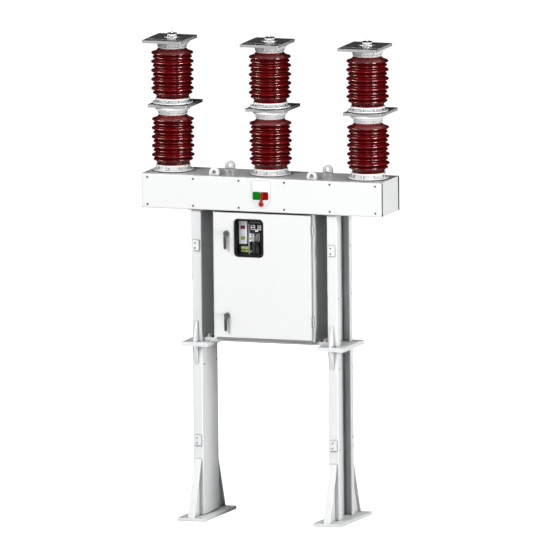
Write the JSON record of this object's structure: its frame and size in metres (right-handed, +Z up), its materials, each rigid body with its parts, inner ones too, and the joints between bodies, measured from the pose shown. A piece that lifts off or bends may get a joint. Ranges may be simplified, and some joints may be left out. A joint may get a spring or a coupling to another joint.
{
  "type": "gas insulated circuit breaker",
  "caption": "Outdoor live-tank circuit breaker: insulated poles on a crossarm over two steel columns, with a drive cabinet whose glazed door opens.",
  "frame": {"origin": "on the ground, midway between the two base plates", "axes": "+X along the crossarm to the right, +Y to the back, +Z up"},
  "size_m": [1.744, 0.64, 3.338],
  "materials": {
    "structure_paint": "satin light grey paint on steel",
    "housing_paint": "smooth satin off-white paint on folded sheet",
    "seal_rubber": "matt black rubber",
    "glazed_porcelain": "dark red-brown glossy glaze",
    "cast_flange_paint": "pale grey paint on a casting",
    "terminal_metal": "smooth milled and polished",
    "stud_metal": "plated and turned",
    "hinge_steel": "zinc plated",
    "window_glass": "clear toughened glass",
    "latch_metal": "dark grey satin casting",
    "indicator_white": "white enamelled plate with one green and one red field",
    "pointer_red": "gloss red paint",
    "mechanism_steel": "zinc plated plate with dark paint",
    "fascia_plastic": "light grey moulding with a red and a green flag",
    "counter_plastic": "black panel with pale counter frames",
    "relay_plastic": "grey moulded housings",
    "terminal_plastic": "yellow-green moulded terminals",
    "motor_paint": "black enamel on a small motor"
  },
  "bodies": {
    "frame": {"left_base_plate": "structure_paint", "right_base_plate": "structure_paint", "left_lower_column": "structure_paint", "right_lower_column": "structure_paint", "left_upper_column": "structure_paint", "right_upper_column": "structure_paint", "base_braces": "structure_paint", "lower_mid_flanges": "structure_paint", "upper_mid_flanges": "structure_paint", "top_flanges": "structure_paint", "mid_gussets": "structure_paint", "small_covers": "structure_paint", "cabinet_beams": "structure_paint", "crossarm_frame": "housing_paint", "crossarm_front_cover": "housing_paint", "crossarm_back_cover": "housing_paint", "cabinet_shell": "housing_paint", "lifting_lugs": "housing_paint", "crossarm_seals": "seal_rubber", "lower_insulators": "glazed_porcelain", "upper_insulators": "glazed_porcelain", "foot_castings": "cast_flange_paint", "cap_castings": "cast_flange_paint", "middle_terminals": "terminal_metal", "top_terminals": "terminal_metal", "terminal_studs": "stud_metal", "fixed_hinges": "hinge_steel", "indicator_plate": "indicator_white", "mechanism_frame": "mechanism_steel", "indicator_fascia": "fascia_plastic", "counter_panel": "counter_plastic", "relay_blocks": "relay_plastic", "terminal_block": "terminal_plastic", "charging_motor": "motor_paint"},
    "door": {"door_panel": "housing_paint", "door_rail": "housing_paint", "door_seal": "seal_rubber", "door_hinges": "hinge_steel", "window_gasket": "seal_rubber", "window_glass": "window_glass"},
    "lower_handle": {"lower_latch": "latch_metal"},
    "upper_handle": {"upper_latch": "latch_metal"},
    "indicator_pointer": {"pointer": "pointer_red"}
  },
  "joints": [
    {"name": "door_hinge", "type": "hinge", "parent": "frame", "child": "door", "pos_m": [0.3585, -0.172, 1.711], "axis": [0, 0, 1], "range_deg": [0, 120]},
    {"name": "lower_handle_turn", "type": "hinge", "parent": "door", "child": "lower_handle", "pos_m": [-0.255, -0.2, 1.422], "axis": [0, -1, 0], "range_deg": [0, 90]},
    {"name": "upper_handle_turn", "type": "hinge", "parent": "door", "child": "upper_handle", "pos_m": [-0.255, -0.2, 1.99], "axis": [0, -1, 0], "range_deg": [0, 90]},
    {"name": "pointer_turn", "type": "hinge", "parent": "frame", "child": "indicator_pointer", "pos_m": [0, -0.2, 2.2], "axis": [0, 1, 0], "range_deg": [-40, 14]}
  ]
}
